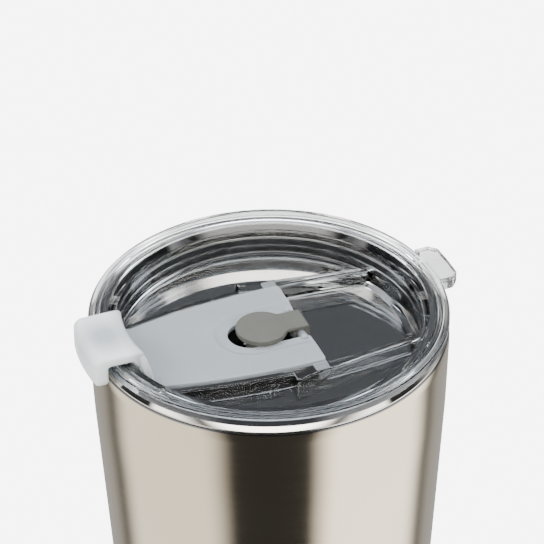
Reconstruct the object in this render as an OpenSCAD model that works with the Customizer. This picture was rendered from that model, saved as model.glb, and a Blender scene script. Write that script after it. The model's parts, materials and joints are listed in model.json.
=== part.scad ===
// Insulated steel tumbler with a clear press-in lid, a hinged drinking flap and a silicone straw plug.
// Millimetres. The origin is the centre of the base, +Z points up out of the mouth, and the flap's
// clip, on the side that is drunk from, points to -X. The flap's hinge axis runs along Y.
// Lid parts are drawn with z = 0 at the top of the steel lip, and heights below it are called drops.

/* [Cup] */
// Height of the steel cup, from the table to the top of its lip
cup_h = 168; // [140:1:200]
// Outer radius of the cup at its lip
lip_r = 44.5; // [44:0.5:46]
// Outer radius of the cup at its base
base_r = 36; // [34:0.5:38]
// Thickness of the steel sheet
sheet_t = 0.8; // [0.6:0.1:0.9]
// Height of the polished lip band
band_h = 2.3; // [2:0.1:3]
// Width of the lip, from the outer wall to the mouth
lip_w = 3.1; // [3:0.1:3.3]
// Height of the inside floor above the table
liner_floor = 11.3; // [10.5:0.1:14]
// Inside radius of the cup where its wall meets its floor
liner_r = 31.8; // [28:0.2:32]

/* [Lid] */
// Height of the lid's rim above the steel lip
rim_h = 2.4; // [2.2:0.1:2.4]
// Drop of the two side wells' floors
well_drop = 6.7; // [6.5:0.1:7]
// Drop of the channel's floor, under the flap
channel_drop = 8.6; // [8.4:0.1:9]
// Thickness of the lid's floors
floor_t = 1.9; // [1.5:0.1:2]
// Drop of the top of the rails beside the channel
rail_drop = 4.3; // [4.2:0.1:4.6]
// Half of the channel's width at its widest
channel_w = 17.1; // [16.5:0.1:17.5]
// Radius of the rails' outward bow
bow_r = 170; // [150:5:220]
// Thickness of the rails
rail_t = 2.2; // [1.8:0.1:2.6]
// Half of the thumb tab's width
tab_w = 7.6; // [6:0.2:11]
// Radius of the thumb tab's outer edge
tab_r = 48.9; // [48:0.1:50]

/* [Flap] */
// Drop of the flap's top face
flap_drop = 3.7; // [3.6:0.1:3.8]
// Thickness of the flap's panel
flap_t = 2; // [1.8:0.1:2.2]
// Distance of the hinge axis from the middle of the lid
hinge_x = 6.8; // [6:0.2:8]
// Drop of the hinge axis
hinge_drop = 4.9; // [4.8:0.1:5]
// Radius of the hinge pins
pin_r = 1.9; // [1.6:0.1:2]
// Half of the clip's width
clip_w = 9.6; // [9:0.1:12]
// Height of the clip's top above the steel lip
clip_h = 5.4; // [4.5:0.1:6]
// Drop of the clip's lower edge, outside the cup
clip_drop = 2.9; // [2.5:0.1:6]

/* [Straw plug] */
// Radius of the plug's head
head_r = 6.5; // [6.2:0.1:6.8]
// Distance of the plug from the middle of the lid, towards the clip
plug_x = -2; // [-3:0.1:-1.5]
// Width of the strap
strap_w = 7.3; // [6:0.1:8]
// Radius of the flap's bar that the strap loops round
bar_r = 1.1; // [1:0.05:1.2]

/* [Hidden] */
$fn = 96;
far = 200;                                   // longer than anything it cuts

// Fits and gaps between pieces
weld_gap = 0.05;                             // between pieces that are welded together
running = 0.06;                              // radial, between a pin and its socket
seat_gap = 0.15;                             // between the lid's rim and the steel lip
clear = 0.4;                                 // between the flap and the lid

// Cup
foot_round = 2.2;                            // outer radius of the shell's bottom corner
stand_w = 2;                                 // width of the turned-in edge that the cup stands on
stand_r = base_r - foot_round - stand_w;
seam_z = cup_h - band_h;
shell_top_r = lip_r + 0.25;                  // the shell stands slightly proud of the polished lip
shoulder_z = cup_h - 23;                     // where the wall starts to taper more
shoulder_r = lip_r - 0.35;
mouth_r = lip_r - lip_w;
mouth_depth = 16;                          // straight part of the mouth that the lid presses into
ridge_w = 1.6;                               // sloping step under the mouth
ridge_h = 2.2;
liner_round = 8;
lip_round = 1.3;
plate_z = 5;                                 // underside of the vacuum end plate
plate_flange = 2;
dimple_r = 5;
dimple_depth = 1.2;
vent_r = 1;                                  // evacuation hole in the dimple
bead_r = 2.8;
bead_h = 0.7;
getter_x = 15;
getter_r = 4;
getter_h = 2.4;
cover_t = 0.6;
cover_step_r = 25;                           // raised middle of the base cover
cover_step_h = 1.2;

// Lid
rim_r = lip_r + 0.15;
rim_round = 0.8;                             // outer edge of the rim
rim_grooves = [1.65, 2.95];                  // distances of the rim's two fine grooves from its edge
rim_groove = 0.25;                           // their depth
skirt_r = mouth_r - 0.5;
skirt_drop = channel_drop + floor_t;
well_r = mouth_r - 4;                        // edge of the wells' floors
ledge_w = 0.5;                               // small ledge, level with the rails, round the wells
wall_r = mouth_r - 3.35;                     // inner wall, level with the steel lip
slope_r = mouth_r - 1.4;                     // top of the rim's inner slope
groove_drop = 3.2;                           // gasket groove
groove_h = 4;
groove_r = skirt_r - 1.3;
step_r = [34.3, 35.7];                       // sloped step at the hinge end of the channel
step_h = 1.1;
bow_x = 5;                                   // where the channel is widest
block_x = -1;                                // thick part of the rails, from the hinge to the wall
block_y = 21.9;
block_end = [34, 16.4];
socket_end = 19.9;                           // distance of the blind sockets' ends from the middle
straw_r = 4.7;
sip_x = -31;
sip_w = 3.3;                                 // half of the sip hole's width
sip_l = 8.4;                                 // half of the sip hole's length
breather = [0, 11, 1.1];                     // x, y and radius of the air hole
tab_t = 3.4;
tab_top = rim_h + 1.3;
tab_turn = 2;                                // degrees round from the line opposite the clip
tab_cut = 2.2;                               // cut corners of the tab

// Flap
panel_r = well_r - clear;
edge_x = 8.5;                                // the panel's edge past the hinge
pin_end = socket_end - 0.1;
pin_root = 14.5;                             // where the pins' knuckles start
pin_flat = 1;                                // height of the flat above the pins' axis
slot_w = 5.5;                                // half of the plug slot's width
slot_x = plug_x - 3.2;                       // middle of the slot's round end
dish_w = 8.6;
dish_t = 0.5;
fillet_r = 4.5;                              // inside foot of the clip
clip_in_r = 45.5;
clip_out_r = 48.5;
clip_round = 2.1;
clip_corner = 2;
clip_inside_r = 36.5;                        // the clip's face towards the plug
wing_w = 12.8;                               // half of the width of the wings' feet
rib = [1.6, 6, 1.9];                         // half width, half length and height of the seal's rib

// Sip seal and straw plug
seal_lip = 0.9;                              // how far the seal spreads over the floor round the hole
seal_in = 1;                                 // how far it goes into the hole
bar_x = 7.2;
bar_drop = 4.7;
loop_t = 1.04;                               // thickness of the strap's loop
loop_corner = 0.7;                           // radius of its outer corner
head_t = 1.7;
head_crown = 0.25;
head_top = bar_drop - bar_r - running - loop_t;
stem_r = [4.4, 3.8];                         // at the head and at the tip
stem_drop = channel_drop + 1.2;
loop_slit = 1.2;

// Points along an arc round c = [x, y], from angle a0 to a1
function arc(c, r, a0, a1, n = 8) =
    [for (i = [0 : n]) let (a = a0 + (a1 - a0) * i / n) [c[0] + r * cos(a), c[1] + r * sin(a)]];
function reversed(list) = [for (i = [len(list) - 1 : -1 : 0]) list[i]];
// Outer radius of the tapered cup at height z
function cup_r(z) = z > shoulder_z
    ? shoulder_r + (shell_top_r - shoulder_r) * (z - shoulder_z) / (seam_z - shoulder_z)
    : base_r + (shoulder_r - base_r) * (z - foot_round) / (shoulder_z - foot_round);

module turned(points) rotate_extrude($fn = 128) polygon(points);
module slab(low, high) translate([0, 0, low]) linear_extrude(high - low) children();
module along_y(x, z, r, y0, y1) translate([x, y0, z]) rotate([-90, 0, 0]) cylinder(r = r, h = y1 - y0);
module at_lip() translate([0, 0, cup_h]) children();
module both_sides() for (s = [0, 1]) mirror([0, s, 0]) children();
// A slot along Y with round ends, half width w and half length l
module stadium(x, w, l) translate([x, 0]) {
    square([2 * w, 2 * (l - w)], center = true);
    for (s = [-1, 1]) translate([0, s * (l - w)]) circle(w);
}
// A slot along X, open to +X, with its round end at x
module open_slot(x, w) {
    translate([x, 0]) circle(w);
    translate([x, -w]) square([far, 2 * w]);
}
// The channel's outline between its two bowed sides
module lens(w) intersection_for(s = [-1, 1]) translate([bow_x, s * (w - bow_r)]) circle(bow_r, $fn = 360);

module outer_shell() color([0.72, 0.70, 0.67]) turned(concat(
    [[stand_r, 0]],
    arc([base_r - foot_round, foot_round], foot_round, -90, 0),
    [[shoulder_r, shoulder_z], [shell_top_r, seam_z], [shell_top_r - sheet_t, seam_z],
     [shoulder_r - sheet_t, shoulder_z]],
    arc([base_r - foot_round, foot_round], foot_round - sheet_t, 0, -90),
    [[stand_r, sheet_t]]));

// The liner's wall, moved outwards by t, from under the lip down to its floor
function liner_side(t) = concat(
    [[mouth_r + t, cup_h - mouth_depth], [mouth_r - ridge_w + t, cup_h - mouth_depth - ridge_h]],
    arc([liner_r - liner_round, liner_floor + liner_round], liner_round + t, 0, -90),
    [[0, liner_floor - t]]);

module inner_vessel() color([0.78, 0.77, 0.75]) turned(concat(
    reversed(liner_side(0)),
    arc([mouth_r + lip_round, cup_h - lip_round], lip_round, 180, 90),
    arc([lip_r - lip_round, cup_h - lip_round], lip_round, 90, 0),
    [[lip_r, seam_z], [mouth_r + sheet_t, seam_z]],
    liner_side(sheet_t)));

module vacuum_end_plate() color([0.6, 0.6, 0.6]) let (
    low_r = cup_r(plate_z - plate_flange) - sheet_t - weld_gap,
    top_r = cup_r(plate_z + sheet_t) - sheet_t - weld_gap,
    low_z = plate_z - dimple_depth)
    turned([[vent_r, low_z], [dimple_r, low_z], [dimple_r + dimple_depth, plate_z],
            [low_r - sheet_t, plate_z], [low_r - sheet_t, plate_z - plate_flange],
            [low_r, plate_z - plate_flange], [top_r, plate_z + sheet_t],
            [dimple_r + dimple_depth, plate_z + sheet_t], [dimple_r, low_z + sheet_t], [vent_r, low_z + sheet_t]]);

module getter_capsule() color([0.45, 0.43, 0.42]) translate([getter_x, 0, plate_z + sheet_t]) difference() {
    cylinder(r = getter_r, h = getter_h);
    translate([0, 0, getter_h / 2]) cylinder(r = getter_r - sheet_t, h = getter_h);
}

module vacuum_seal_bead() color([0.35, 0.33, 0.3]) translate([0, 0, plate_z - dimple_depth]) {
    translate([0, 0, -bead_h]) cylinder(r = bead_r, h = bead_h);
    cylinder(r = vent_r - weld_gap, h = sheet_t + bead_h / 2);
}

module base_cover() color([0.7, 0.7, 0.7]) let (
    low = sheet_t, high = sheet_t + cover_step_h, edge_r = base_r - foot_round - weld_gap)
    turned([[0, high], [cover_step_r, high], [cover_step_r + cover_step_h, low], [edge_r, low],
            [edge_r, low + cover_t], [cover_step_r + cover_step_h + cover_t / 2, low + cover_t],
            [cover_step_r + cover_t / 2, high + cover_t], [0, high + cover_t]]);

// Rim, inner wall and skirt of the lid, with the groove for the gasket
module lid_ring() turned(concat(
    [[well_r, -skirt_drop], [well_r, -rail_drop], [well_r + ledge_w, -rail_drop], [wall_r, 0],
     [slope_r - rim_groove, rim_h - rim_groove], [slope_r, rim_h]],
    [for (d = reversed(rim_grooves), i = [-1 : 1]) [rim_r - d + i * rim_groove, rim_h - (1 - abs(i)) * rim_groove]],
    arc([rim_r - rim_round, rim_h - rim_round], rim_round, 90, 0),
    [[rim_r, seat_gap + 0.2], [rim_r - 0.2, seat_gap], [skirt_r, seat_gap],
     [skirt_r, -groove_drop], [groove_r, -groove_drop],
     [groove_r, -groove_drop - groove_h], [skirt_r - 0.4, -groove_drop - groove_h],
     [skirt_r - 0.4, -skirt_drop + 0.6], [skirt_r - 1, -skirt_drop]]));

// Floors of the wells and of the channel, with the rails between them
module lid_floor() intersection() {
    cylinder(r = well_r + ledge_w / 2, h = far, center = true);
    union() {
        slab(-well_drop - floor_t, -well_drop) difference() { square(2 * lip_r, center = true); lens(channel_w); }
        slab(-skirt_drop, -channel_drop) lens(channel_w + rail_t);
        slab(-skirt_drop, -rail_drop) difference() { lens(channel_w + rail_t); lens(channel_w); }
        intersection() {
            turned([[step_r[0], -channel_drop], [step_r[1], -channel_drop + step_h], [lip_r, -channel_drop + step_h],
                    [lip_r, -skirt_drop], [step_r[0], -skirt_drop]]);
            slab(-far, far) intersection() { lens(channel_w); translate([0, -lip_r]) square(2 * lip_r); }
        }
        both_sides() slab(-well_drop - floor_t, -rail_drop) difference() {
            polygon([[block_x, 0], [block_x, block_y], block_end, [block_end[0], 0]]);
            lens(channel_w);
        }
    }
}

module thumb_tab() rotate([0, 0, tab_turn]) intersection() {
    slab(tab_top - tab_t, tab_top) difference() {
        intersection() {
            circle(tab_r);
            polygon([[0, -tab_w], [tab_r - tab_cut, -tab_w], [tab_r, tab_cut - tab_w],
                     [tab_r, tab_w - tab_cut], [tab_r - tab_cut, tab_w], [0, tab_w]]);
        }
        circle(rim_r - rim_round);
    }
    union() {
        slab(seat_gap, far) square(far, center = true);
        slab(-far, far) difference() { square(far, center = true); circle(rim_r + 0.3); }
    }
}

module lid_body() color([0.85, 0.9, 0.95, 0.4]) at_lip() difference() {
    union() {
        lid_ring();
        lid_floor();
        thumb_tab();
    }
    along_y(hinge_x, -hinge_drop, pin_r + running, -socket_end, socket_end);
    translate([plug_x, 0, -far]) cylinder(r = straw_r, h = far);
    slab(-far, 0) stadium(sip_x, sip_w, sip_l);
    translate([breather[0], breather[1], -far]) cylinder(r = breather[2], h = far);
}

module lid_gasket() color([0.25, 0.26, 0.27]) at_lip() let (
    in_r = groove_r + 0.1, fin_r = mouth_r - 0.15, low = -groove_drop - groove_h + 0.1, high = -groove_drop - 0.1,
    fin = (high - low) / 5)
    turned([[in_r, low], [skirt_r - 0.1, low], [fin_r, low + fin], [skirt_r - 0.1, low + 2 * fin],
            [skirt_r - 0.1, low + 3 * fin], [fin_r, low + 4 * fin], [skirt_r - 0.1, high], [in_r, high]]);

// The flap's panel with its slot and the shallow dish round it
module flap_panel() difference() {
    slab(-flap_drop - flap_t, -flap_drop) intersection() {
        lens(channel_w - clear);
        circle(panel_r);
        translate([edge_x - far, -far / 2]) square(far);
    }
    slab(-far, 0) open_slot(slot_x, slot_w);
    slab(-flap_drop - dish_t, 0) open_slot(slot_x, dish_w);
}

// Section of the clip: up the lid's inner wall, over its rim and down outside the cup
module clip_section() polygon(concat(
    [[clip_inside_r - fillet_r, -flap_drop - flap_t]],
    arc([clip_inside_r - fillet_r, fillet_r - flap_drop], fillet_r, -90, 0),
    [[clip_inside_r, clip_h - 0.8], [clip_inside_r + 0.8, clip_h]],
    arc([clip_out_r - clip_round, clip_h - clip_round], clip_round, 90, 0),
    [[clip_out_r, -clip_drop + 0.8], [clip_out_r - 0.8, -clip_drop],
     [clip_in_r + 0.4, -clip_drop], [clip_in_r, -clip_drop + 0.4],
     [clip_in_r, rim_h - 0.4], [clip_in_r - 0.7, rim_h + 0.3], [slope_r - 0.5, rim_h + 0.3],
     [wall_r - clear, 0], [panel_r + 0.1, -flap_drop], [panel_r, -flap_drop - flap_t]]));

module clip() intersection() {
    rotate_extrude($fn = 128) clip_section();
    translate([-far, 0, 0]) rotate([90, 0, 90]) linear_extrude(far) union() {
        translate([-clip_w, -clip_drop + clip_corner]) square([2 * clip_w, clip_h + clip_drop - clip_corner]);
        translate([clip_corner - clip_w, -clip_drop]) square([2 * (clip_w - clip_corner), far / 10]);
        for (s = [-1, 1]) translate([s * (clip_w - clip_corner), clip_corner - clip_drop]) circle(clip_corner);
    }
}

// Wings that run down from the clip along the lid's inner wall
module wings() intersection() {
    rotate_extrude($fn = 128) intersection() {
        clip_section();
        translate([0, -far / 2]) square([wall_r, far]);
    }
    translate([-far, 0, 0]) rotate([90, 0, 90]) linear_extrude(far)
        polygon([[-clip_w, clip_h], [-wing_w, -flap_drop], [-wing_w, -flap_drop - flap_t],
                 [wing_w, -flap_drop - flap_t], [wing_w, -flap_drop], [clip_w, clip_h]]);
    slab(-far, far) lens(channel_w - clear);
}

module hinge_pins() difference() {
    both_sides() along_y(hinge_x, -hinge_drop, pin_r, pin_root, pin_end);
    slab(-hinge_drop + pin_flat, 0) square(far, center = true);
}

module flap() color([0.93, 0.95, 0.96]) at_lip() {
    flap_panel();
    clip();
    wings();
    hinge_pins();
    along_y(bar_x, -bar_drop, bar_r, -slot_w - 1, slot_w + 1);
    slab(-flap_drop - flap_t - rib[2], -flap_drop - flap_t) stadium(sip_x, rib[0], rib[1]);
}

module sip_seal() color([0.8, 0.82, 0.82]) at_lip() let (
    top = -flap_drop - flap_t - weld_gap, seat = -channel_drop + 0.1) difference() {
    union() {
        slab(seat, top) stadium(sip_x, sip_w + seal_lip, sip_l + seal_lip);
        slab(-channel_drop - seal_in, seat) stadium(sip_x, sip_w - clear, sip_l - clear);
    }
    slab(top - rib[2] - weld_gap, far) stadium(sip_x, rib[0] + weld_gap, rib[1] + weld_gap);
}

module straw_plug() color([0.58, 0.58, 0.55]) at_lip() {
    translate([plug_x, 0, 0]) turned(concat(
        [[0, -stem_drop], [stem_r[1], -stem_drop], [stem_r[0], -head_top - head_t], [head_r - 0.4, -head_top - head_t]],
        arc([head_r - 0.5, -head_top - 0.5], 0.5, 0, 90, 4),
        [[0, head_crown - head_top]]));
    translate([plug_x, -strap_w / 2, -head_top - loop_t]) cube([bar_x - plug_x, strap_w, loop_t]);
    difference() {
        hull() let (out = bar_r + running + loop_t, in = out - loop_corner) {
            along_y(bar_x, -bar_drop, out, -strap_w / 2, strap_w / 2);
            along_y(bar_x + in, in - bar_drop, loop_corner, -strap_w / 2, strap_w / 2);
        }
        along_y(bar_x, -bar_drop, bar_r + running, -strap_w, strap_w);
        translate([bar_x, 0, -bar_drop]) rotate([0, 45, 0]) translate([-far / 2, 0, 0])
            cube([far, far, loop_slit], center = true);
    }
}

outer_shell();
inner_vessel();
vacuum_end_plate();
getter_capsule();
vacuum_seal_bead();
base_cover();
lid_body();
lid_gasket();
flap();
sip_seal();
straw_plug();
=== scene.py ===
"""Looks of the insulated tumbler: detailed meshes, procedural materials and a soft pale studio.

Every piece is drawn in millimetres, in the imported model's frame, and scaled to metres when its mesh is
made. The lid's pieces are drawn with height 0 at the top of the steel lip. Directions round the cup are
angles from +X, and the flap's clip, on the side that is drunk from, is at -X.
"""
import json
import math

import bmesh
import bpy
from mathutils import Matrix, Vector


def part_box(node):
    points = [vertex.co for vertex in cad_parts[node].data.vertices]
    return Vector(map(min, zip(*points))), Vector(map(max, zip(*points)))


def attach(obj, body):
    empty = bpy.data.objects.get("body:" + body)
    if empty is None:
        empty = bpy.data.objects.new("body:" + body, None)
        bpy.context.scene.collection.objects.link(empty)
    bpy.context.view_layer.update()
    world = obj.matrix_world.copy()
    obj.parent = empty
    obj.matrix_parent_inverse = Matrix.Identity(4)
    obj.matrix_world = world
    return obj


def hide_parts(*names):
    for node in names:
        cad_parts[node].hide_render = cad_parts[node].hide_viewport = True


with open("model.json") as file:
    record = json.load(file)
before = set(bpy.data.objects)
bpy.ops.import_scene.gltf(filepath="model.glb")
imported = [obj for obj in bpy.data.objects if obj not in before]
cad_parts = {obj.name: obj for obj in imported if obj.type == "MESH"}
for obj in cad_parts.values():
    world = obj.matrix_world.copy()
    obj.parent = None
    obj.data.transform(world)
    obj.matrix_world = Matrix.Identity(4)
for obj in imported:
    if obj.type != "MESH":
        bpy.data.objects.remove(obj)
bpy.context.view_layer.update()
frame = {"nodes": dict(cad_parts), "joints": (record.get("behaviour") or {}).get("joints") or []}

MM = 0.001
SOLVER = "MANIFOLD"                                   # how meshes are united and cut
JOINTS = {joint["name"]: joint for joint in frame["joints"]}


def node_box(name):
    """Lowest and highest corners of a CAD node, in millimetres."""
    return [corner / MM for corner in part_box(name)]


# ---------------------------------------------------------------------------------------------------
# Sizes that come from the frame
LIP_Z = node_box("inner_vessel")[1].z                 # top of the steel lip
LIP_R = node_box("inner_vessel")[1].x
SEAM_Z = node_box("outer_shell")[1].z                 # where the polished lip meets the brushed shell
BASE_Z = node_box("outer_shell")[0].z
FLOOR_Z = node_box("inner_vessel")[0].z               # underside of the liner's floor
LID_LOW = node_box("lid_body")[0].z - LIP_Z
TAB_R = node_box("lid_body")[1].x - 0.01
TAB_TOP = node_box("lid_body")[1].z - LIP_Z
GASKET_LOW = node_box("lid_gasket")[0].z - LIP_Z
GASKET_HIGH = node_box("lid_gasket")[1].z - LIP_Z
GASKET_R = node_box("lid_gasket")[1].x
FLAP_X = node_box("flap")[1].x                        # the panel's edge past the hinge
CLIP_R = -node_box("flap")[0].x
CLIP_TOP = node_box("flap")[1].z - LIP_Z
SEAL_LOW, SEAL_HIGH = node_box("sip_seal")
COVER_LOW, COVER_HIGH = node_box("base_cover")
HINGE = Vector(JOINTS["flap_hinge"]["pos_m"]) / MM - Vector((0, 0, LIP_Z))
BAR = Vector(JOINTS["plug_swing"]["pos_m"]) / MM - Vector((0, 0, LIP_Z))

# Cup
SHEET = 0.8
LIP_W = 3.1
MOUTH_R = LIP_R - LIP_W
MOUTH_DEPTH = 16.0
RIDGE_W, RIDGE_H = 1.6, 2.2
LINER_R, LINER_ROUND = 31.8, 8.0
BASE_R, FOOT_ROUND, STAND_W = 36.0, 2.2, 2.0
SHELL_TOP_R, SHOULDER_Z, SHOULDER_R = LIP_R + 0.25, LIP_Z - 23, LIP_R - 0.35

# Lid
RIM_H = 2.4
RIM_R = LIP_R + 0.15
SEAT_GAP = 0.15
WELL_R = MOUTH_R - 4
WALL_R = MOUTH_R - 3.35
SLOPE_R = MOUTH_R - 1.4
SKIRT_R = MOUTH_R - 0.5
GROOVE_R = SKIRT_R - 1.3
GROOVE_TOP, GROOVE_FOOT = -3.2, -7.2
WELL_Z, CHANNEL_Z, RAIL_Z = -6.7, -8.6, -4.3
FLOOR_T = 1.9
CHANNEL_W, RAIL_T, BOW_R, BOW_X = 17.1, 2.2, 170.0, 5.0
BLOCK_X, BLOCK_Y, BLOCK_END = -1.0, 21.9, (34.0, 16.4)
SOCKET_END, PIN_R, PIN_GAP = 19.9, 1.9, 0.06
PLUG_X, STRAW_R = -2.0, 4.7                           # straw hole
SIP_X, SIP_W, SIP_L = -31.0, 3.3, 8.4                 # sip hole, half its width and length
AIR_Y, AIR_R = 11.0, 1.1                              # air hole
TAB_W, TAB_CUT, TAB_T, TAB_TURN = 7.6, 2.2, 3.4, 2

# Flap and plug
PANEL_TOP, PANEL_T = -3.7, 2.0
PANEL_W, PANEL_R = CHANNEL_W - 0.4, WELL_R - 0.4
SLOT_W = 5.5
SLOT_X = PLUG_X - 3.2
DISH_W, DISH_T = 8.6, 0.5
FILLET_R = 4.5
CLIP_W, CLIP_LOW, CLIP_IN_R, CLIP_FACE_R = 9.6, -2.9, 45.5, 36.5
WING_W = 12.8
HEAD_R, HEAD_T, STRAP_W, BAR_R = 6.5, 1.66, 7.3, 1.1
LOOP_T, LOOP_CORNER = 1.04, 0.7
HEAD_TOP = BAR.z + BAR_R + PIN_GAP + LOOP_T


# ---------------------------------------------------------------------------------------------------
# Outlines: lists of (x, y) points, or of (radius, height) points for what is turned
def arc(centre, radius, start, end, steps=6):
    """Points on an arc, between two angles in degrees."""
    angles = [math.radians(start + (end - start) * i / steps) for i in range(steps + 1)]
    return [(centre[0] + radius * math.cos(a), centre[1] + radius * math.sin(a)) for a in angles]


def rounded(corners, steps=5):
    """A closed outline through corners given as (x, y, radius), each made an arc of that radius."""
    points = []
    for i, (x, y, radius) in enumerate(corners):
        if not radius:
            points.append((x, y))
            continue
        here = Vector((x, y))
        back = (Vector(corners[i - 1][:2]) - here).normalized()
        ahead = (Vector(corners[(i + 1) % len(corners)][:2]) - here).normalized()
        half = back.angle(ahead) / 2
        centre = here + (back + ahead).normalized() * radius / math.sin(half)
        reach = radius / math.tan(half)
        first, last = here + back * reach - centre, here + ahead * reach - centre
        start = math.atan2(first.y, first.x)
        turn = (math.atan2(last.y, last.x) - start + math.pi) % (2 * math.pi) - math.pi
        points += arc(centre, radius, math.degrees(start), math.degrees(start + turn), steps)
    return points


def bow(x, half_width):
    """Y of one of the channel's bowed sides."""
    return half_width - BOW_R + math.sqrt(BOW_R ** 2 - (x - BOW_X) ** 2)


def span(start, end, steps):
    return [start + (end - start) * i / steps for i in range(steps + 1)]


def channel_outline(half_width, left=-43.0, right=43.0, steps=60):
    """Lens-shaped outline between the channel's two bowed sides."""
    side = [(x, bow(x, half_width)) for x in span(right, left, steps)]
    return side + [(x, -y) for x, y in reversed(side)]


def edge_steps(low, high, low_round, high_round, steps=4):
    """(inset, height) of each section of an extrusion with rounded edges. A negative radius flares."""
    def quarter(radius, height, sign):
        if not radius:
            return [(0, height)]
        size = abs(radius)
        turns = [math.radians(90 * i / steps) for i in range(steps + 1)]
        return [(math.copysign(size * (1 - math.sin(a)), radius),
                 height + sign * size * (1 - math.cos(a))) for a in turns]
    return quarter(low_round, low, 1) + list(reversed(quarter(high_round, high, -1)))


# ---------------------------------------------------------------------------------------------------
# Meshes
def make_object(name, bm):
    """Puts a mesh drawn in millimetres into the scene, in metres."""
    bmesh.ops.remove_doubles(bm, verts=bm.verts, dist=0.0005)
    bmesh.ops.recalc_face_normals(bm, faces=bm.faces)
    mesh = bpy.data.meshes.new(name)
    bm.to_mesh(mesh)
    bm.free()
    mesh.transform(Matrix.Diagonal((MM, MM, MM, 1)))
    piece = bpy.data.objects.new(name, mesh)
    bpy.context.scene.collection.objects.link(piece)
    return piece


def lathe(name, outline, lift=0.0, steps=256):
    """A solid turned about Z from a closed outline of (radius, height) points."""
    bm = bmesh.new()
    on_axis = {i: bm.verts.new((0, 0, z + lift)) for i, (r, z) in enumerate(outline) if r < 1e-6}
    columns = []
    for k in range(steps):
        angle = 2 * math.pi * k / steps
        x, y = math.cos(angle), math.sin(angle)
        columns.append([on_axis.get(i) or bm.verts.new((r * x, r * y, z + lift))
                        for i, (r, z) in enumerate(outline)])
    for left, right in zip(columns, columns[1:] + columns[:1]):
        for i in range(len(outline)):
            corners = [left[i - 1], left[i], right[i], right[i - 1]]
            unique = list(dict.fromkeys(corners))
            if len(unique) > 2:
                bm.faces.new(unique)
    return make_object(name, bm)


def drum(name, radius, low, high):
    """A round block about Z, between two heights over the steel lip."""
    return lathe(name, [(0, low), (radius, low), (radius, high), (0, high)], LIP_Z)


def loft(name, sections):
    """A solid through closed sections, each a list of the same number of (x, y, z) points."""
    bm = bmesh.new()
    rings = [[bm.verts.new(point) for point in section] for section in sections]
    for low, high in zip(rings, rings[1:]):
        for i in range(len(low)):
            bm.faces.new((low[i - 1], low[i], high[i], high[i - 1]))
    bm.faces.new(list(reversed(rings[0])))
    bm.faces.new(rings[-1])
    return make_object(name, bm)


def plate(name, outline_at, low, high, low_round=0.0, high_round=0.0, lift=LIP_Z):
    """An upright extrusion with rounded edges. outline_at(inset) gives its outline, moved inwards."""
    steps = edge_steps(low, high, low_round, high_round)
    return loft(name, [[(x, y, z + lift) for x, y in outline_at(inset)] for inset, z in steps])


def rod(name, centre, radius, start, end, rounding=0.3, steps=48):
    """A round bar along Y with rounded ends."""
    sections = []
    for inset, y in edge_steps(start, end, rounding, rounding):
        circle = arc((centre.x, centre.z), radius - inset, 0, 360 * (steps - 1) / steps, steps - 1)
        sections.append([(x, y, z + LIP_Z) for x, z in circle])
    return loft(name, sections)


def settle(piece):
    """Applies a piece's modifiers to its mesh."""
    evaluated = piece.evaluated_get(bpy.context.evaluated_depsgraph_get())
    mesh = bpy.data.meshes.new_from_object(evaluated)
    piece.modifiers.clear()
    old, piece.data = piece.data, mesh
    bpy.data.meshes.remove(old)


def combine(piece, operation, *others):
    """Unites a piece with others, cuts them from it, or keeps what it shares with them."""
    for other in others:
        modifier = piece.modifiers.new(operation, "BOOLEAN")
        modifier.operation = operation
        modifier.solver = SOLVER
        modifier.object = other
        settle(piece)
        bpy.data.objects.remove(other)
    return piece


def smooth(piece, angle=32):
    """Smooth shading that keeps sharp edges and leaves flat faces flat."""
    mesh = piece.data
    mesh.shade_smooth()
    mesh.set_sharp_from_angle(angle=math.radians(angle))
    weighted = piece.modifiers.new("normals", "WEIGHTED_NORMAL")
    weighted.keep_sharp = True
    weighted.weight = 80
    settle(piece)
    return piece


def finish_piece(piece, body, node, paint):
    """Gives a finished mesh its smoothing, material and body, and hides the CAD node it stands for."""
    smooth(piece)
    piece.data.materials.clear()
    piece.data.materials.append(paint)
    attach(piece, body)
    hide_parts(node)
    return piece


# ---------------------------------------------------------------------------------------------------
# Steel pieces
def cup_r(z):
    """Outer radius of the tapered shell, steeper above its soft shoulder."""
    low = BASE_R + (SHOULDER_R - BASE_R) * (z - FOOT_ROUND) / (SHOULDER_Z - FOOT_ROUND)
    high = SHOULDER_R + (SHELL_TOP_R - SHOULDER_R) * (z - SHOULDER_Z) / (SEAM_Z - SHOULDER_Z)
    soft = 0.02
    tuck = max(0, 1 - (SEAM_Z - z) / 3)               # it curves in to meet the lip
    return (low + high) / 2 - math.sqrt((low - high) ** 2 / 4 + soft ** 2) + soft - 0.25 * tuck ** 2


def make_shell():
    inner_round = FOOT_ROUND - SHEET
    centre = (BASE_R - FOOT_ROUND, BASE_Z + FOOT_ROUND)
    outline = [(centre[0] - STAND_W, BASE_Z)]
    outline += arc(centre, FOOT_ROUND, -90, 0, 10)
    outline += [(cup_r(z), z) for z in span(20, SEAM_Z - 3, 30)[:-1] + span(SEAM_Z - 3, SEAM_Z, 8)]
    outline += [(cup_r(SEAM_Z) - SHEET, SEAM_Z)]
    outline += [(cup_r(z) - SHEET, z) for z in span(SEAM_Z - 2, 20, 12)]
    outline += arc(centre, inner_round, 0, -90, 6)
    outline += [(centre[0] - STAND_W, BASE_Z + SHEET)]
    return lathe("shell_brushed", outline)


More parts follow.
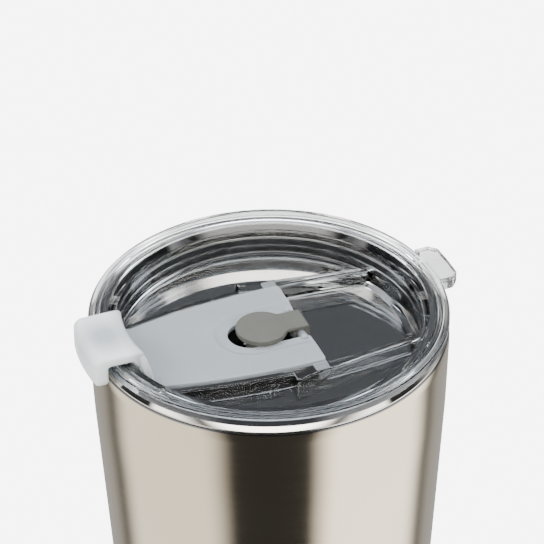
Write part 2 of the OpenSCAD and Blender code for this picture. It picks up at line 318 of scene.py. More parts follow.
def liner_side(offset):
    """The liner's wall, moved outwards, from under the lip down to the middle of its floor."""
    floor_z = FLOOR_Z + SHEET
    ridge = [(MOUTH_R + offset, LIP_Z - MOUTH_DEPTH + 0.6), (MOUTH_R + offset, LIP_Z - MOUTH_DEPTH),
             (MOUTH_R - RIDGE_W + offset, LIP_Z - MOUTH_DEPTH - RIDGE_H)]
    corner = arc((LINER_R - LINER_ROUND, floor_z + LINER_ROUND), LINER_ROUND + offset, 0, -90, 12)
    top_r, low_r = ridge[-1][0], corner[0][0]
    wall = [(top_r + (low_r - top_r) * t, ridge[-1][1] + (corner[0][1] - ridge[-1][1]) * t)
            for t in span(0.02, 1, 8)[:-1]]
    return ridge + wall + corner + [(0, floor_z - offset)]


def make_liner():
    lip = rounded([
        (MOUTH_R, LIP_Z, 1.2), (LIP_R - 1.45, LIP_Z, 1.5), (LIP_R, SEAM_Z + 0.35, 0.4),
        (LIP_R - 0.35, SEAM_Z, 0.1), (MOUTH_R + SHEET, SEAM_Z, 0)], 8)
    return lathe("liner_polished", list(reversed(liner_side(0))) + lip + liner_side(SHEET))


def make_base_cover():
    low, high, edge = COVER_LOW.z, COVER_HIGH.z, COVER_HIGH.x
    step_r, step_h = 25.0, 1.2
    sheet = high - low - step_h
    outline = rounded([
        (0, low + step_h, 0), (step_r, low + step_h, 1.0), (step_r + step_h, low, 1.0),
        (edge, low, 0.1), (edge, low + sheet, 0.1), (step_r + step_h + 0.3, low + sheet, 0.6),
        (step_r + 0.3, high, 0.6), (0, high, 0)])
    return lathe("base_cover_spun", outline)


# ---------------------------------------------------------------------------------------------------
# Lid
def rim_outline():
    """Rim, inner wall, the wells' fillet and the skirt with the gasket's groove."""
    fillet, foot_r, groove = 1.1, WELL_R - 2.0, 0.25
    corners = [
        (foot_r, WELL_Z - FLOOR_T, 0), (foot_r, WELL_Z, 0), (WELL_R, WELL_Z, fillet),
        (WELL_R, RAIL_Z, 0.15), (WELL_R + 0.5, RAIL_Z, 0.15), (WALL_R, 0, 0.5),
        (SLOPE_R - 0.25, RIM_H - 0.05, 0.35)]
    for distance in (2.95, 1.65):
        corners += [(RIM_R - distance - groove, RIM_H, 0.12), (RIM_R - distance, RIM_H - groove, 0.1),
                    (RIM_R - distance + groove, RIM_H, 0.12)]
    corners += [
        (RIM_R, RIM_H, 0.8), (RIM_R, SEAT_GAP, 0.2), (SKIRT_R, SEAT_GAP, 0.4),
        (SKIRT_R, GROOVE_TOP, 0.03), (GROOVE_R, GROOVE_TOP, 0.02), (GROOVE_R, GROOVE_FOOT, 0.02),
        (SKIRT_R - 0.4, GROOVE_FOOT, 0.03),
        (SKIRT_R - 0.4, LID_LOW, 0.15), (WELL_R, LID_LOW, 0.1), (WELL_R, WELL_Z - FLOOR_T, 0)]
    return rounded(corners)


def rail_outline(inset):
    """One rail with the thick block beside the hinge; its channel side is left for the cutter."""
    def block_line(x):
        slope = (BLOCK_END[1] - BLOCK_Y) / (BLOCK_END[0] - BLOCK_X)
        return BLOCK_Y + slope * (x - BLOCK_X)
    outer = CHANNEL_W + RAIL_T - inset
    left = BLOCK_X + inset
    points = [(x, bow(x, outer)) for x in span(-38.3, left, 20)]
    points += [(x, max(bow(x, outer), block_line(x) - inset)) for x in span(left, 38.3, 24)]
    return points + [(x, bow(x, CHANNEL_W - 1)) for x in span(38.3, -38.3, 30)]


def stadium(x, half_width, half_length):
    """A slot along Y with round ends."""
    reach = half_length - half_width
    return arc((x, reach), half_width, 0, 180, 16) + arc((x, -reach), half_width, 180, 360, 16)


def tab_outline(inset):
    """The thumb tab with its cut corners; its root is buried in the rim."""
    w, r, cut = TAB_W - inset, TAB_R - inset, TAB_CUT - 0.6 * inset
    return rounded([
        (RIM_R - 2.2, -w, 0), (r - cut, -w, 0.9), (r - 0.15, cut - w, 0.9), (r, 0, 0),
        (r - 0.15, w - cut, 0.9), (r - cut, w, 0.9), (RIM_R - 2.2, w, 0)])


def make_tab():
    tab = plate("tab", tab_outline, TAB_TOP - TAB_T, TAB_TOP, 0.4, 0.55)
    relief = drum("relief", RIM_R + 0.3, -9, SEAT_GAP)
    recess = drum("recess", RIM_R - 0.8, SEAT_GAP, 9)
    combine(tab, "DIFFERENCE", relief, recess)
    tab.data.transform(Matrix.Rotation(math.radians(TAB_TURN), 4, "Z"))
    return tab


def make_lid():
    lid = lathe("lid_clear", rim_outline(), LIP_Z)
    wells = drum("wells", WELL_R - 1.5, WELL_Z - FLOOR_T, WELL_Z)
    bound = drum("bound", WELL_R + 0.25, -20, RAIL_Z + 2)
    under = plate("under", lambda inset: channel_outline(CHANNEL_W + RAIL_T - inset),
                  LID_LOW, CHANNEL_Z + 0.6, 0.4)
    for side in (1, -1):
        def outline(inset, side=side):
            return [(x, side * y) for x, y in rail_outline(inset)][::side]
        combine(under, "UNION", plate("rail", outline, WELL_Z - 0.8, RAIL_Z, 0, 0.6))
    combine(under, "INTERSECT", bound)
    combine(lid, "UNION", wells, under)

    steps = edge_steps(CHANNEL_Z, RAIL_Z, 0.5, -0.6) + [(-0.6, 4)]
    channel = loft("channel", [[(x, y, z + LIP_Z) for x, y in channel_outline(CHANNEL_W - inset)]
                               for inset, z in steps])
    reach = rounded([(0, CHANNEL_Z, 0), (WELL_R, CHANNEL_Z, 0.9), (WELL_R, 0, 0), (0, 0, 0)])
    combine(channel, "INTERSECT", lathe("reach", reach, LIP_Z))
    combine(lid, "DIFFERENCE", channel)

    ramp = lathe("ramp", rounded([
        (33, CHANNEL_Z - 0.9, 0), (33, CHANNEL_Z - 0.1, 0), (34.3, CHANNEL_Z - 0.1, 0.6),
        (35.7, CHANNEL_Z + 1.1, 0.5), (WELL_R + 0.3, CHANNEL_Z + 1.1, 0),
        (WELL_R + 0.3, CHANNEL_Z - 0.9, 0)]), LIP_Z)
    half = plate("half", lambda inset: channel_outline(CHANNEL_W + 0.3, left=5), -30, 0)
    combine(ramp, "INTERSECT", half)
    combine(lid, "UNION", ramp, make_tab())

    socket = rod("socket", HINGE, PIN_R + PIN_GAP, -SOCKET_END, SOCKET_END)
    flare = 0.3
    straw = plate("straw", lambda inset: arc((PLUG_X, 0), STRAW_R - inset, 0, 354, 59),
                  -30, CHANNEL_Z, 0, -flare)
    straw_top = plate("straw_top", lambda inset: arc((PLUG_X, 0), STRAW_R + flare, 0, 354, 59),
                      CHANNEL_Z, 0)
    sip = plate("sip", lambda inset: stadium(SIP_X, SIP_W - inset, SIP_L - inset), -30, 0)
    breather = plate("breather", lambda inset: arc((0, AIR_Y), AIR_R, 0, 350, 35), -30, 0)
    return combine(lid, "DIFFERENCE", socket, combine(straw, "UNION", straw_top), sip, breather)


def make_gasket():
    wet = 0.11                                        # it fills the groove, so no air shows between them
    low, high = GASKET_LOW - wet, GASKET_HIGH + wet
    skirt, inner = SKIRT_R - 0.1, GROOVE_R - 0.01
    fin = (high - low) / 5
    outline = rounded([
        (inner, low, 0.2), (skirt, low, 0.1), (GASKET_R, low + fin, 0.25),
        (skirt, low + 2 * fin, 0.3), (skirt, low + 3 * fin, 0.3),
        (GASKET_R, low + 4 * fin, 0.25), (skirt, high, 0.1), (inner, high, 0.2)])
    return lathe("gasket_ring", outline, LIP_Z)


# ---------------------------------------------------------------------------------------------------
# Flap
def panel_outline(inset):
    """The panel between the channel's sides, with the plug's slot open towards the hinge."""
    edge, half, radius, slot = FLAP_X - inset, PANEL_W - inset, PANEL_R - inset, SLOT_W + inset
    corner = 0.8 - 0.5 * inset
    meet = next(x for x in span(-30, -40, 400) if math.hypot(x, bow(x, half)) >= radius)
    side = [(x, bow(x, half)) for x in span(edge - 1.5, meet, 30)]
    turn = math.degrees(math.atan2(bow(meet, half), meet))
    end = arc((0, 0), radius, turn, 360 - turn, 24)[1:-1]
    nose = arc((SLOT_X, 0), slot, 90, 270, 20)
    upper = rounded([(edge, slot, corner), (edge, bow(edge, half), corner),
                     (edge - 1.5, bow(edge - 1.5, half), 0), (edge - 4, slot, 0)])[:-2]
    lower = [(x, -y) for x, y in reversed(upper)]
    return upper + side + end + [(x, -y) for x, y in reversed(side)] + lower + list(reversed(nose))


def dish_outline(half_width):
    """A slot along X, past the panel's edge, with its round end towards the clip."""
    return [(20, half_width)] + arc((SLOT_X, 0), half_width, 90, 270, 40) + [(20, -half_width)]


def make_panel():
    panel = plate("panel", panel_outline, PANEL_TOP - PANEL_T, PANEL_TOP, 0.3, 0.3)
    slope, above = 0.9, 1.4
    profile = [(DISH_W - slope + 2 * slope * t, PANEL_TOP - DISH_T * (1 + math.cos(math.pi * t)) / 2)
               for t in span(0, 1, 8)] + [(DISH_W + above, PANEL_TOP + above)]
    dish = loft("dish", [[(x, y, z + LIP_Z) for x, y in dish_outline(w)] for w, z in profile])
    return combine(panel, "DIFFERENCE", dish)


def clip_section():
    """Half section of the clip: up the lid's inner wall, over its rim and down outside the cup."""
    return rounded([
        (CLIP_FACE_R, PANEL_TOP - 1.0, 0), (CLIP_FACE_R, CLIP_TOP, 1.3), (CLIP_R - 0.1, CLIP_TOP, 2.2),
        (CLIP_R, CLIP_LOW, 1.0), (CLIP_IN_R, CLIP_LOW, 0.9), (CLIP_IN_R, RIM_H + 0.3, 0.6),
        (SLOPE_R - 0.5, RIM_H + 0.3, 0.5), (WALL_R - 0.4, 0, 0.4), (PANEL_R, PANEL_TOP - 1.0, 0)], 6)


def inset_outline(outline, distance):
    """A closed outline with each point moved inwards, whichever way round it runs."""
    area = sum(a[0] * b[1] - b[0] * a[1] for a, b in zip(outline, outline[1:] + outline[:1]))
    moved = []
    for i, point in enumerate(outline):
        back, ahead = Vector(outline[i - 1]), Vector(outline[(i + 1) % len(outline)])
        along = (ahead - back).normalized()
        moved.append((point[0] - math.copysign(distance, area) * along.y,
                      point[1] + math.copysign(distance, area) * along.x))
    return moved


def turned_to(section, y):
    """A (radius, height) section placed on the clip's side of the cup, at a distance y from its middle."""
    return [(-math.sqrt(r * r - y * y), y, z + LIP_Z) for r, z in section]


def make_clip():
    """The clip, lofted across its width, with its skirt's lower corners rounded."""
    corner, soft, straight = 2.2, 0.75, 0.5
    section = clip_section()
    sections = []
    stations = edge_steps(-CLIP_W, CLIP_W, soft, soft, 5)
    middle = len(stations) // 2
    inner = [(0, y) for y in span(-CLIP_W + soft, CLIP_W - soft, 32)[1:-1]]
    for inset, y in stations[:middle] + inner + stations[middle:]:
        past = min(max(abs(y) - (CLIP_W - corner), 0) / corner, 0.97)
        lift = corner * (1 - math.sqrt(1 - past ** 2))
        lifted = [(r, z + lift * min(max((straight - z) / (straight - CLIP_LOW), 0), 1))
                  for r, z in inset_outline(section, inset)]
        sections.append(turned_to(lifted, y))
    return loft("clip", sections)


def make_wings():
    """The panel's end, which curves up into the clip and narrows as it rises."""
    base = PANEL_TOP - 0.9
    section = [(CLIP_FACE_R - FILLET_R, base)] + arc(
        (CLIP_FACE_R - FILLET_R, FILLET_R + PANEL_TOP), FILLET_R, -90, 0, 12)
    section += [(CLIP_FACE_R, z) for z in span(PANEL_TOP + FILLET_R + 0.4, CLIP_TOP - 1.4, 3)]
    section += arc((CLIP_FACE_R + 0.78, CLIP_TOP - 1.4), 0.78, 180, 0, 8)
    section += [(WALL_R, 0.6), (WALL_R - 0.4, -0.2), (PANEL_R, PANEL_TOP), (PANEL_R, base)]
    low, high = CLIP_W - 1.6, WING_W
    sections = []
    for y in [high * math.sin(math.radians(90 * turn)) for turn in span(-1, 1, 72)]:
        t = min(max((abs(y) - low) / (high - low), 0.0), 1.0)
        rise = 0.02 + 0.98 * (1 - t ** 2.4) ** 0.6
        lowered = [(CLIP_FACE_R - (CLIP_FACE_R - r) * rise if r < CLIP_FACE_R else r,
                    PANEL_TOP - 0.08 + (z - PANEL_TOP) * rise if z > PANEL_TOP else z)
                   for r, z in section]
        sections.append(turned_to(lowered, y))
    return loft("wings", sections)


def make_flap():
    """The whole flap. Its hinge pins are flat on top."""
    flap = make_panel()
    flap.name = "flap_frosted"
    root, end, flat_z, wide = 14.5, SOCKET_END - 0.1, HINGE.z + 0.55, 60
    pins = [rod("pin", HINGE, PIN_R, low, high, 0.35) for low, high in ((root, end), (-end, -root))]
    for pin in pins:
        flat = plate("flat", lambda inset: [(-wide, -wide), (wide, -wide), (wide, wide), (-wide, wide)],
                     flat_z, 20)
        combine(pin, "DIFFERENCE", flat)
    bar = rod("bar", BAR, BAR_R, -SLOT_W - 1, SLOT_W + 1, 0.0)
    rib = plate("rib", lambda inset: stadium(SIP_X, 1.6 - inset, 6 - inset),
                PANEL_TOP - PANEL_T - 1.9, PANEL_TOP - PANEL_T + 0.5, 0.4)
    return combine(flap, "UNION", make_wings(), make_clip(), *pins, bar, rib)


def make_seal():
    low, high = SEAL_LOW.z - LIP_Z, SEAL_HIGH.z - LIP_Z
    half_x, half_y = (SEAL_HIGH.x - SEAL_LOW.x) / 2, (SEAL_HIGH.y - SEAL_LOW.y) / 2
    seat = CHANNEL_Z + 0.1
    pad = plate("sip_seal_pad", lambda inset: stadium(SIP_X, half_x - inset, half_y - inset),
                seat, high, 0.3, 0.3)
    boss = plate("boss", lambda inset: stadium(SIP_X, 2.9 - inset, 8.0 - inset), low, seat + 0.5, 0.35)
    pocket = plate("pocket", lambda inset: stadium(SIP_X, 1.65, 6.05), high - 1.95, high + 1)
    return combine(combine(pad, "UNION", boss), "DIFFERENCE", pocket)


# ---------------------------------------------------------------------------------------------------
# Straw plug
def plug_outline(inset):
    """The round head blended into the strap, seen from above."""
    head, half, blend = HEAD_R - inset, STRAP_W / 2 - inset, 1.1 + inset
    centre_x = PLUG_X + math.sqrt((head + blend) ** 2 - (half + blend) ** 2)
    touch = math.degrees(math.atan2(half + blend, centre_x - PLUG_X))
    upper = [(BAR.x, half)] + arc((centre_x, half + blend), blend, 270, 180 + touch, 8)
    around = arc((PLUG_X, 0), head, touch, 360 - touch, 56)[1:-1]
    return upper + around + [(x, -y) for x, y in reversed(upper)]


def make_plug():
    """The head with its tapered stem and crowned top, the strap, and the loop round the flap's bar."""
    plug = plate("straw_plug_grey", plug_outline, HEAD_TOP - LOOP_T, HEAD_TOP, 0.25, 0.4)
    crown, stem_low, edge, under = 0.25, -9.8, HEAD_R - 0.05, HEAD_TOP - HEAD_T
    head = lathe("head", rounded([
        (0, stem_low, 0), (3.8, stem_low, 0.5), (4.4, under, 0.3), (edge, under, 0.4),
        (edge, HEAD_TOP - 0.05, 0.45)]) + [(0, HEAD_TOP + crown)], LIP_Z)
    head.data.transform(Matrix.Translation((PLUG_X * MM, 0, 0)))
    sections = []
    for inset, y in edge_steps(-STRAP_W / 2, STRAP_W / 2, 0.3, 0.3):
        reach, corner = BAR_R + PIN_GAP + LOOP_T - inset, LOOP_CORNER - inset
        outer = arc((BAR.x, BAR.z), reach, 96, 91, 2)
        outer += arc((BAR.x + reach - corner, BAR.z + reach - corner), corner, 90, 0, 6)
        outer += arc((BAR.x, BAR.z), reach, -2, -200, 24)
        hole = arc((BAR.x, BAR.z), BAR_R + PIN_GAP + inset, -200, 96, 24)
        sections.append([(x, y, z + LIP_Z) for x, z in outer + hole])
    return combine(plug, "UNION", head, loft("loop", sections))


# ---------------------------------------------------------------------------------------------------
# Materials
def add_node(tree, kind, inputs=None, **settings):
    """A shader node with its settings, and its inputs linked or set."""
    new = tree.nodes.new(kind)
    for name, value in settings.items():
        setattr(new, name, value)
    for name, value in (inputs or {}).items():
        if isinstance(value, bpy.types.NodeSocket):
            tree.links.new(value, new.inputs[name])
        else:
            new.inputs[name].default_value = value
    return new


def new_material(name, **sockets):
    """A Principled material with constant sockets, and its node tree and shader."""
    paint = bpy.data.materials.new(name)
    paint.use_nodes = True
    shader = paint.node_tree.nodes["Principled BSDF"]
    for socket, value in sockets.items():
        shader.inputs[socket.replace("_", " ")].default_value = value
    return paint, paint.node_tree, shader


def noise(tree, stretch, scale=1.0, detail=3.0, roughness=0.5):
    """Noise on the piece's own coordinates, in metres, stretched along each axis."""
    place = add_node(tree, "ShaderNodeTexCoord").outputs["Object"]
    mapped = add_node(tree, "ShaderNodeMapping", {"Vector": place, "Scale": stretch}).outputs["Vector"]
    return add_node(tree, "ShaderNodeTexNoise", {
        "Vector": mapped, "Scale": scale, "Detail": detail, "Roughness": roughness}).outputs["Fac"]


def remap(tree, value, low, high, source=(0.3, 0.7)):
    """Moves a value's usual spread to another range."""
    return add_node(tree, "ShaderNodeMapRange", {
        "Value": value, "From Min": source[0], "From Max": source[1], "To Min": low, "To Max": high}
        ).outputs["Result"]


def math_node(tree, operation, *values):
    return add_node(tree, "ShaderNodeMath", dict(enumerate(values)), operation=operation).outputs[0]


def blend_colours(tree, factor, first, second):
    """Mix of two colours, each given as numbers or by another node."""
    mix = add_node(tree, "ShaderNodeMix", data_type="RGBA")
    tree.links.new(factor, mix.inputs["Factor"])
    for socket, colour in (("A", first), ("B", second)):
        if isinstance(colour, tuple):
            mix.inputs[socket].default_value = (*colour, 1)
        else:
            tree.links.new(colour, mix.inputs[socket])
    return mix.outputs["Result"]


def tint(tree, shader, factor, first, second):
    tree.links.new(blend_colours(tree, factor, first, second), shader.inputs["Base Color"])


def add_bump(tree, shader, height, distance, strength=1.0):
    bump = add_node(tree, "ShaderNodeBump",
                    {"Height": height, "Distance": distance, "Strength": strength})
    tree.links.new(bump.outputs["Normal"], shader.inputs["Normal"])


def height_of(tree):
    place = add_node(tree, "ShaderNodeTexCoord").outputs["Object"]
    return add_node(tree, "ShaderNodeSeparateXYZ", {"Vector": place}).outputs["Z"]


POLISH = 0.3                                          # a polished part's roughness against the rest


def brushed_steel(name, light, dark, roughness, anisotropy, shade_band, grain=1.0, polished_above=None):
    """Steel brushed round the cup: streaks that are long sideways and fine upwards.

    The last colour argument, (height, height, colour), is painted shade: the colour turns into that one
    from the first height, in millimetres, to the second. grain 0 leaves the streaks out.
    """
    paint, tree, shader = new_material(
        name, Metallic=1.0, Anisotropic=anisotropy, Anisotropic_Rotation=0.25)
    tangent = add_node(tree, "ShaderNodeTangent", direction_type="RADIAL", axis="Z")
    tree.links.new(tangent.outputs["Tangent"], shader.inputs["Tangent"])
    streaks = noise(tree, (30, 30, 5200), 1.0, 4, 0.65)
    clouds = noise(tree, (14, 14, 22), 1.0, 2)
    height = height_of(tree)
    start, end, other = shade_band
    shade_mask = remap(tree, height, 0, 1, (start * MM, end * MM))
    metal = blend_colours(tree, remap(tree, clouds, 0, 1), light, dark)
    tree.links.new(blend_colours(tree, shade_mask, metal, other), shader.inputs["Base Color"])
    rough = remap(tree, streaks, roughness - 0.03 * grain, roughness + 0.03 * grain)
    if polished_above is not None:
        edge = polished_above * MM
        rough = math_node(tree, "MULTIPLY", rough, remap(tree, height, 1.0, POLISH, (edge, edge + MM)))
    tree.links.new(rough, shader.inputs["Roughness"])
    add_bump(tree, shader, streaks, 0.0000006 * grain)
    return paint


def plain_steel(name, light, dark, roughness):
    """Mill-finish steel, faintly cloudy."""
    paint, tree, shader = new_material(name, Metallic=1.0)
    grain = noise(tree, (400, 400, 400), 1.0, 4)
    tint(tree, shader, remap(tree, grain, 0, 1), light, dark)
    tree.links.new(remap(tree, grain, roughness - 0.06, roughness + 0.06), shader.inputs["Roughness"])
    add_bump(tree, shader, grain, 0.00001)
    return paint


def clear_plastic(name):
    """Clear moulded copolyester, very slightly wavy as moulded parts are."""
    paint, tree, shader = new_material(name, Transmission_Weight=1.0, IOR=1.54)
    waves = noise(tree, (160, 160, 160), 1.0, 1)
    place = add_node(tree, "ShaderNodeTexCoord").outputs["Object"]
    along = add_node(tree, "ShaderNodeSeparateXYZ", {"Vector": place}).outputs["X"]
    on_tab = remap(tree, along, 0, 1, ((RIM_R + 0.1) * MM, (RIM_R + 0.7) * MM))
    # Painted shade: the tab is tinted greyer, dimming the bright floor seen through it. It is also
    # frosted.
    tint(tree, shader, on_tab, (0.955, 0.98, 0.998), (0.93, 0.935, 0.93))
    haze = remap(tree, noise(tree, (300, 300, 300)), 0.0, 0.006)
    tree.links.new(math_node(tree, "MULTIPLY_ADD", on_tab, 0.1, haze), shader.inputs["Roughness"])
    add_bump(tree, shader, waves, 0.0000008)
    return paint


# The frosted plastic's colours are one material in lit and shaded copies: greyer on the panel and paler on
# the clip, with painted shade at the clip's crown and on the pins and bar.
FROST_PANEL_SHADED = (0.275, 0.295, 0.31)
FROST_CLIP_LIT, FROST_CROWN_SHADE = (0.86, 0.89, 0.90), (0.44, 0.47, 0.50)
FROST_PIN_BAR_SHADE = (0.14, 0.15, 0.16)                       # painted shade on the pins and the bar


def frosted_plastic(name):
    """Milky translucent polypropylene with a fine texture, in lit and shaded copies: paler on the clip,
    greyer on the panel, with painted shade over the clip's crown and on the pins and bar.
    """
    paint, tree, shader = new_material(
        name, Subsurface_Weight=1.0, Subsurface_Scale=0.0025, IOR=1.49, Specular_IOR_Level=0.4,
        Subsurface_Radius=(1.0, 1.0, 1.0))
    grain = noise(tree, (5000, 5000, 5000), 1.0, 2)
    place = add_node(tree, "ShaderNodeTexCoord").outputs["Object"]
    split = add_node(tree, "ShaderNodeSeparateXYZ", {"Vector": place})
    at_clip = remap(tree, split.outputs["X"], 0, 1, (-34 * MM, -40 * MM))
    # Random clouds, plus the clip's painted lightness.
    clouds_and_clip_light = math_node(tree, "MULTIPLY_ADD", noise(tree, (60, 60, 60), 1.0, 2), 0.12, at_clip)
    # Painted shade: the pins and the bar are coloured darker, for the shade in and behind them.
    beside = math_node(tree, "ABSOLUTE", split.outputs["Y"])
    at_pin = math_node(tree, "GREATER_THAN", beside, (CHANNEL_W + 0.1) * MM)
    past_bar = math_node(tree, "GREATER_THAN", split.outputs["X"], (BAR.x - BAR_R - 0.2) * MM)
    in_slot = math_node(tree, "LESS_THAN", beside, (SLOT_W - 0.1) * MM)
    at_bar = math_node(tree, "MULTIPLY", past_bar, in_slot)
    pin_bar_shade = math_node(tree, "MULTIPLY", math_node(tree, "ADD", at_pin, at_bar), 0.75)
    # Painted shade: darker round the clip's crown, for the shaded dip in its top and the dark rim showing
    # through.
    crown = Vector((-CLIP_IN_R + 3, 0, CLIP_TOP + LIP_Z)) * MM
    distance = add_node(tree, "ShaderNodeVectorMath", {0: place, 1: crown}, operation="DISTANCE")
    off_crown = remap(tree, distance.outputs["Value"], 0, 1, (2 * MM, 9 * MM))
    clip = blend_colours(tree, off_crown, FROST_CROWN_SHADE, FROST_CLIP_LIT)
    tint(tree, shader, pin_bar_shade, blend_colours(tree, clouds_and_clip_light, FROST_PANEL_SHADED, clip), FROST_PIN_BAR_SHADE)
    tree.links.new(remap(tree, grain, 0.38, 0.5), shader.inputs["Roughness"])
    add_bump(tree, shader, grain, 0.000002)
    return paint


def silicone(name, light, dark, roughness=0.5, grain_depth=0.000006):
    """Matt silicone with a fine grain."""
    paint, tree, shader = new_material(name, IOR=1.41, Specular_IOR_Level=0.4)
    grain = noise(tree, (2500, 2500, 2500), 1.0, 3)
    clouds = noise(tree, (150, 150, 150), 1.0, 3)
    tint(tree, shader, remap(tree, clouds, 0, 1), light, dark)
    spread = 0.15 * roughness
    rough = remap(tree, grain, roughness - spread, roughness + spread)
    tree.links.new(rough, shader.inputs["Roughness"])
    add_bump(tree, shader, grain, grain_depth)
    return paint


def seal_glass(name):
    paint, tree, shader = new_material(name, Roughness=0.15)
    specks = noise(tree, (1500, 1500, 1500))
    tint(tree, shader, remap(tree, specks, 0, 1), (0.12, 0.11, 0.1), (0.2, 0.18, 0.16))
    return paint


# ---------------------------------------------------------------------------------------------------
# Build the object
def paint_node(name, paint):
    """Gives a carried-over CAD node its material."""
    node = frame["nodes"][name]
    node.data.materials.clear()
    node.data.materials.append(paint)


def build():
    # Painted shade: a dark line on the shell just under the lip, for the shadow there.
    seam_shadow_line = (SEAM_Z - 0.5, SEAM_Z - 0.25, (0.16, 0.165, 0.17))
    mouth_low = LIP_Z - MOUTH_DEPTH
    # Painted shade: the liner turns darker below the mouth, for the dim inside of the cup.
    interior_shade = (mouth_low + 2, mouth_low, (0.4, 0.375, 0.345))
    shell_steel = brushed_steel("shell_steel", (0.645, 0.55, 0.405), (0.615, 0.52, 0.375), 0.14, 0.5,
                                seam_shadow_line)
    liner_steel = brushed_steel("liner_steel", (0.64, 0.595, 0.54), (0.62, 0.575, 0.52), 0.1, 0.0,
                                interior_shade, 0.0, mouth_low + 1)
    sheet_steel = plain_steel("sheet_steel", (0.5, 0.49, 0.47), (0.42, 0.41, 0.4), 0.4)
    finish_piece(make_shell(), "tumbler", "outer_shell", shell_steel)
    finish_piece(make_liner(), "tumbler", "inner_vessel", liner_steel)
    finish_piece(make_base_cover(), "tumbler", "base_cover", shell_steel)
    # The gasket is painted nearly black: painted shade for the dark band between the lid and the steel.
    finish_piece(make_gasket(), "gasket", "lid_gasket",
                 silicone("gasket_silicone", (0.035, 0.036, 0.038), (0.028, 0.029, 0.03),
                          0.25, 0.0000005))
    finish_piece(make_lid(), "lid", "lid_body", clear_plastic("clear_copolyester"))
    finish_piece(make_flap(), "flap", "flap", frosted_plastic("frosted_polypropylene"))
    finish_piece(make_seal(), "flap", "sip_seal",
                 silicone("white_silicone", (0.8, 0.82, 0.82), (0.75, 0.77, 0.77)))
    finish_piece(make_plug(), "plug", "straw_plug",
                 silicone("grey_silicone", (0.105, 0.105, 0.09), (0.092, 0.092, 0.079)))
    paint_node("vacuum_end_plate", sheet_steel)
    paint_node("getter_capsule",
               plain_steel("getter_metal", (0.3, 0.29, 0.28), (0.22, 0.21, 0.2), 0.55))
    paint_node("vacuum_seal_bead", seal_glass("solder_glass"))


# ---------------------------------------------------------------------------------------------------
# Studio
CAMERA_AZIMUTH, CAMERA_ELEVATION, CAMERA_ROLL = -20.1, 35.97, -0.82
CAMERA_DISTANCE = 0.712
CAMERA_AIM = Vector((0, 0, SEAM_Z * MM))
AIM_RIGHT, AIM_UP = 0.059, 1.032                      # degrees, from the aim point to the picture's middle
LENS = 190.26
BACKDROP, THROUGH_LID = 7.1, 2.2                      # brightness seen directly, and through the lid

DOME = (0.05, 0.052, 0.055)
WHITE, WARM, COOL = (1, 1, 1), (1, 0.985, 0.96), (0.93, 0.99, 1.07)
COOL_FILL, COOL_TOP = (0.93, 0.98, 1.05), (0.96, 1, 1.04)

# Softboxes: (azimuth, half width, low, high, soft edge, level, colour), with angles in degrees and azimuth
# 0 at the camera's side
SOFTBOXES = [
    # Big panels that reach to the floor, one on each side and a dim one behind. The camera's side is dark.
    (75, 40, -110, 4, 12, 3.5, WHITE),
    (-75, 40, -110, 4, 12, 2, WHITE),
    (180, 50, -110, 4, 12, 0.5, WHITE),
    # Strips over the camera
    (0, 100, 33, 43, 2, 10, WARM),
    (0, 75, 20, 29, 3, 4.5, WHITE),
    # Narrow uprights at the sides, and the strip, the fill and the ceiling behind
    (112, 12, 30, 60, 2, 9, COOL),
    (-112, 12, 30, 60, 2, 9, COOL),
    (180, 60, 47, 58, 2, 9, COOL),
    (180, 60, 28, 60, 6, 0.6, COOL_FILL),
    (180, 200, 66, 100, 4, 0.8, COOL_TOP),
]


def make_camera():
    azimuth, elevation = math.radians(CAMERA_AZIMUTH), math.radians(CAMERA_ELEVATION)
    roll = math.radians(CAMERA_ROLL)
    away = Vector((math.sin(azimuth) * math.cos(elevation), -math.cos(azimuth) * math.cos(elevation),
                   math.sin(elevation)))
    level = (-away).cross(Vector((0, 0, 1))).normalized()
    upright = level.cross(-away)
    right = level * math.cos(roll) + upright * math.sin(roll)
    up = upright * math.cos(roll) - level * math.sin(roll)
    shift = right * math.tan(math.radians(AIM_RIGHT)) + up * math.tan(math.radians(AIM_UP))
    forward = (shift - away).normalized()
    right = (right - forward * right.dot(forward)).normalized()
    up = right.cross(forward)
    data = bpy.data.cameras.new("camera")
    data.lens = LENS
    camera = bpy.data.objects.new("camera", data)
    camera.matrix_world = Matrix.Translation(CAMERA_AIM + away * CAMERA_DISTANCE) @ Matrix(
        (right, up, -forward)).transposed().to_4x4()
    bpy.context.scene.collection.objects.link(camera)
    bpy.context.scene.camera = camera


def make_floor():
    """A pale floor, dimmer through the clear lid, with a soft contact shade. Nothing mirrors it."""
    bm = bmesh.new()
    bmesh.ops.create_grid(bm, x_segments=8, y_segments=8, size=4000)
    floor = make_object("floor", bm)
    paint = bpy.data.materials.new("pale_floor")
    paint.use_nodes = True
    tree = paint.node_tree
    tree.nodes.clear()
    near = add_node(tree, "ShaderNodeAmbientOcclusion", {"Distance": 0.09}, samples=12).outputs["AO"]
    seen = add_node(tree, "ShaderNodeLightPath").outputs["Is Camera Ray"]
    level = remap(tree, seen, THROUGH_LID, BACKDROP, (0, 1))
    shade = remap(tree, near, 0.35, 1.0, (0.3, 1.0))
    strength = math_node(tree, "MULTIPLY", level, shade)
    glow = add_node(tree, "ShaderNodeEmission", {"Color": (1, 1, 1, 1), "Strength": strength})
    tree.links.new(glow.outputs[0], add_node(tree, "ShaderNodeOutputMaterial").inputs["Surface"])
    floor.data.materials.append(paint)
    floor.visible_diffuse = floor.visible_glossy = floor.visible_shadow = False


def soft_step(tree, value, low, high):
    return add_node(tree, "ShaderNodeMapRange", {"Value": value, "From Min": low, "From Max": high},
                    interpolation_type="SMOOTHSTEP").outputs["Result"]


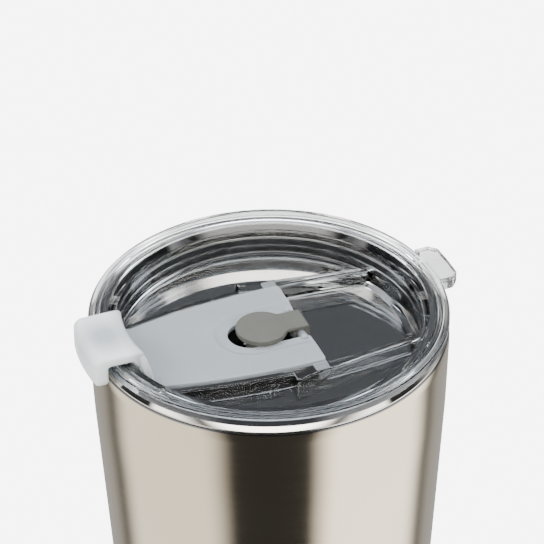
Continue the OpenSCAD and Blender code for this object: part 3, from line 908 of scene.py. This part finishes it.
def soft_window(tree, azimuth, elevation, *angles):
    """1 inside a softbox's ranges of direction, fading to 0 over its soft edge."""
    middle, half, low, high, soft = (math.radians(angle) for angle in angles)
    turned = math_node(tree, "WRAP", math_node(tree, "SUBTRACT", azimuth, middle), math.pi, -math.pi)
    beside = soft_step(tree, math_node(tree, "ABSOLUTE", turned), half + soft, half - soft)
    above = soft_step(tree, elevation, low - soft, low + soft)
    below = soft_step(tree, elevation, high + soft, high - soft)
    return math_node(tree, "MULTIPLY", beside, math_node(tree, "MULTIPLY", above, below))


def make_studio():
    """One world: a bright backdrop for the camera, and the softboxes for everything else."""
    world = bpy.data.worlds.new("studio")
    bpy.context.scene.world = world
    world.use_nodes = True
    tree = world.node_tree
    tree.nodes.clear()
    direction = add_node(tree, "ShaderNodeTexCoord").outputs["Generated"]
    split = add_node(tree, "ShaderNodeSeparateXYZ", {"Vector": direction})
    x, y, z = (split.outputs[axis] for axis in "XYZ")
    turn = math.radians(CAMERA_AZIMUTH)
    side = math_node(tree, "ADD", math_node(tree, "MULTIPLY", x, math.cos(turn)),
                     math_node(tree, "MULTIPLY", y, math.sin(turn)))
    near = math_node(tree, "SUBTRACT", math_node(tree, "MULTIPLY", x, math.sin(turn)),
                     math_node(tree, "MULTIPLY", y, math.cos(turn)))
    azimuth = math_node(tree, "ARCTAN2", side, near)
    elevation = math_node(tree, "ARCSINE", z)

    lights = add_node(tree, "ShaderNodeBackground", {"Color": (*DOME, 1)}).outputs[0]
    for *angles, level, colour in SOFTBOXES:
        window = soft_window(tree, azimuth, elevation, *angles)
        glow = add_node(tree, "ShaderNodeBackground", {
            "Color": (*colour, 1), "Strength": math_node(tree, "MULTIPLY", window, level)})
        lights = add_node(tree, "ShaderNodeAddShader", {0: lights, 1: glow.outputs[0]}).outputs[0]
    backdrop = add_node(tree, "ShaderNodeBackground", {"Color": (1, 1, 1, 1), "Strength": BACKDROP})
    seen = add_node(tree, "ShaderNodeLightPath").outputs["Is Camera Ray"]
    both = add_node(tree, "ShaderNodeMixShader", {0: seen, 1: lights, 2: backdrop.outputs[0]})
    tree.links.new(both.outputs[0], add_node(tree, "ShaderNodeOutputWorld").inputs["Surface"])


make_camera()
build()
make_floor()
make_studio()
